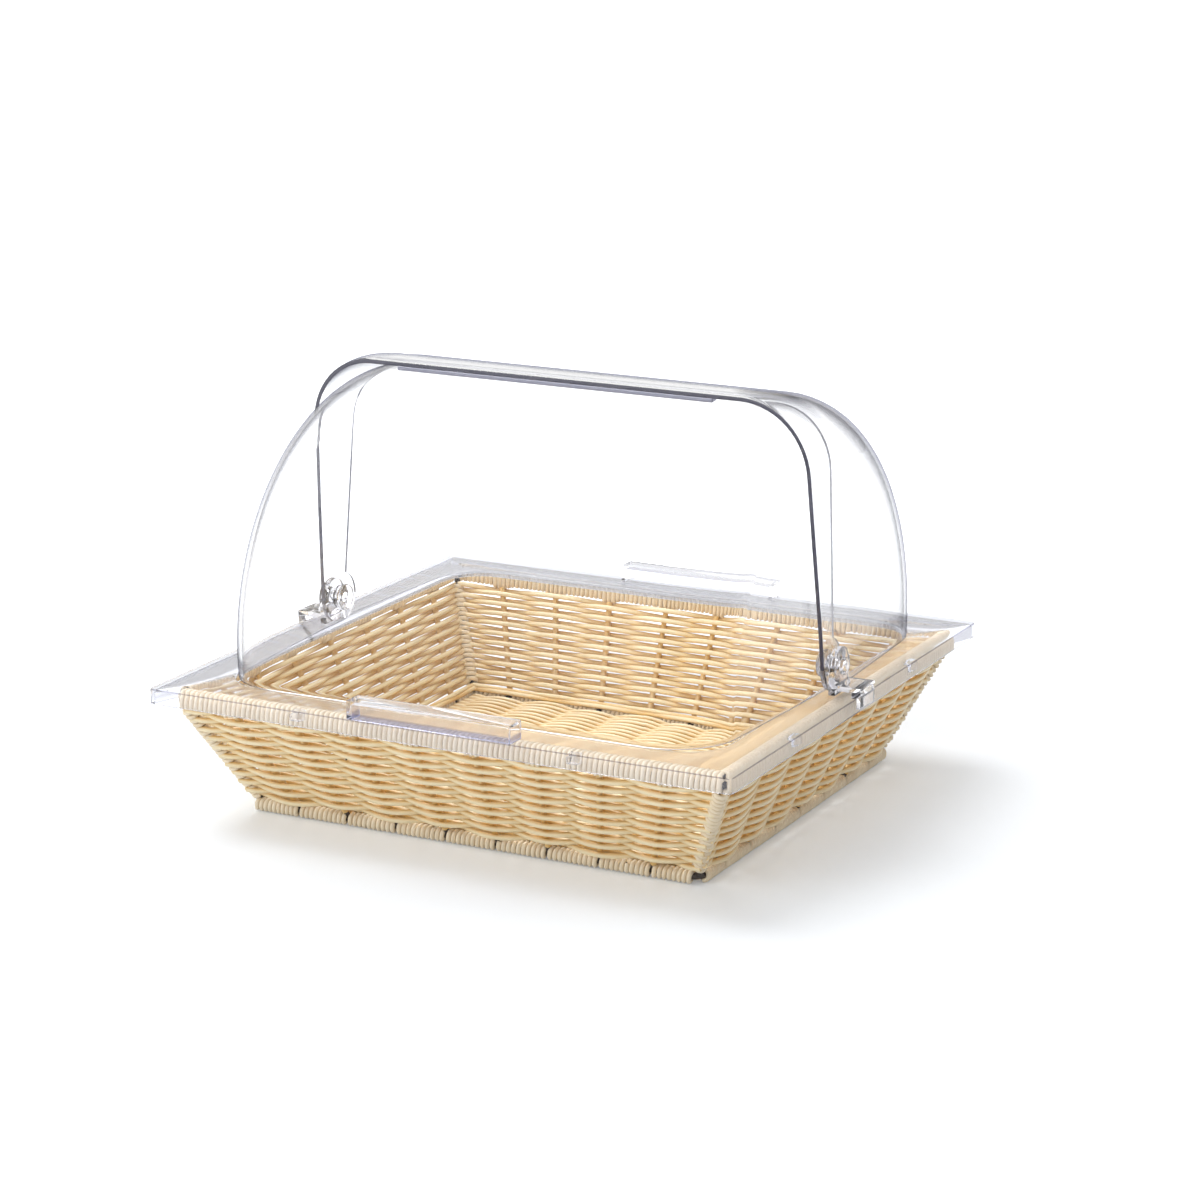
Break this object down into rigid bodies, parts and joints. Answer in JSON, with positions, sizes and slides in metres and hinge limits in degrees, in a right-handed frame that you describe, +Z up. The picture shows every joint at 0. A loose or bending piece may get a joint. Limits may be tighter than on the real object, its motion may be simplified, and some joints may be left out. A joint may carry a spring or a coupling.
{
  "type": "countertop bread display bin",
  "caption": "Woven basket on a wire skeleton with a lift-off clear cover, whose two quarter hoods roll over each other about one hinge line.",
  "frame": {"origin": "on the surface that the basket stands on, under the middle of the basket", "axes": "+X to the right along the hinge line, front towards -Y, +Z up"},
  "size_m": [0.3744, 0.345, 0.253],
  "materials": {
    "wire": "dark lacquered steel wire",
    "cane": "woven ivory cane with a soft gloss",
    "wrap_cane": "wound ivory cane with a soft gloss",
    "clear": "clear moulded polycarbonate"
  },
  "bodies": {
    "basket": {"wire_cage": "wire", "rim_wire_ring": "wire", "base_panel": "cane", "corner_wire_front_left": "wire", "corner_wire_front_right": "wire", "corner_wire_back_left": "wire", "corner_wire_back_right": "wire", "front_wall": "cane", "back_wall": "cane", "left_wall": "cane", "right_wall": "cane", "rim_wrap_front": "wrap_cane", "rim_wrap_back": "wrap_cane", "rim_wrap_left": "wrap_cane", "rim_wrap_right": "wrap_cane", "base_wrap_front": "wrap_cane", "base_wrap_back": "wrap_cane", "base_wrap_left": "wrap_cane", "base_wrap_right": "wrap_cane", "corner_wrap_front_left": "wrap_cane", "corner_wrap_front_right": "wrap_cane", "corner_wrap_back_left": "wrap_cane", "corner_wrap_back_right": "wrap_cane"},
    "cover": {"cover_frame": "clear", "front_grip_rail": "clear", "back_grip_rail": "clear", "hinge_bracket_left": "clear", "hinge_bracket_right": "clear", "hinge_rivet_left": "clear", "hinge_rivet_right": "clear", "hinge_spacer_left": "clear", "hinge_spacer_right": "clear"},
    "front_hood": {"front_hood": "clear"},
    "back_hood": {"back_hood": "clear", "hood_grip_strip": "clear"}
  },
  "joints": [
    {"name": "cover_lift", "type": "slide", "parent": "basket", "child": "cover", "axis": [0, 0, 1], "range_m": [0, 0.12]},
    {"name": "front_hood_hinge", "type": "hinge", "parent": "cover", "child": "front_hood", "pos_m": [0, 0, 0.0965], "axis": [-1, 0, 0], "range_deg": [0, 88]},
    {"name": "back_hood_hinge", "type": "hinge", "parent": "cover", "child": "back_hood", "pos_m": [0, 0, 0.0965], "axis": [1, 0, 0], "range_deg": [0, 84]}
  ]
}
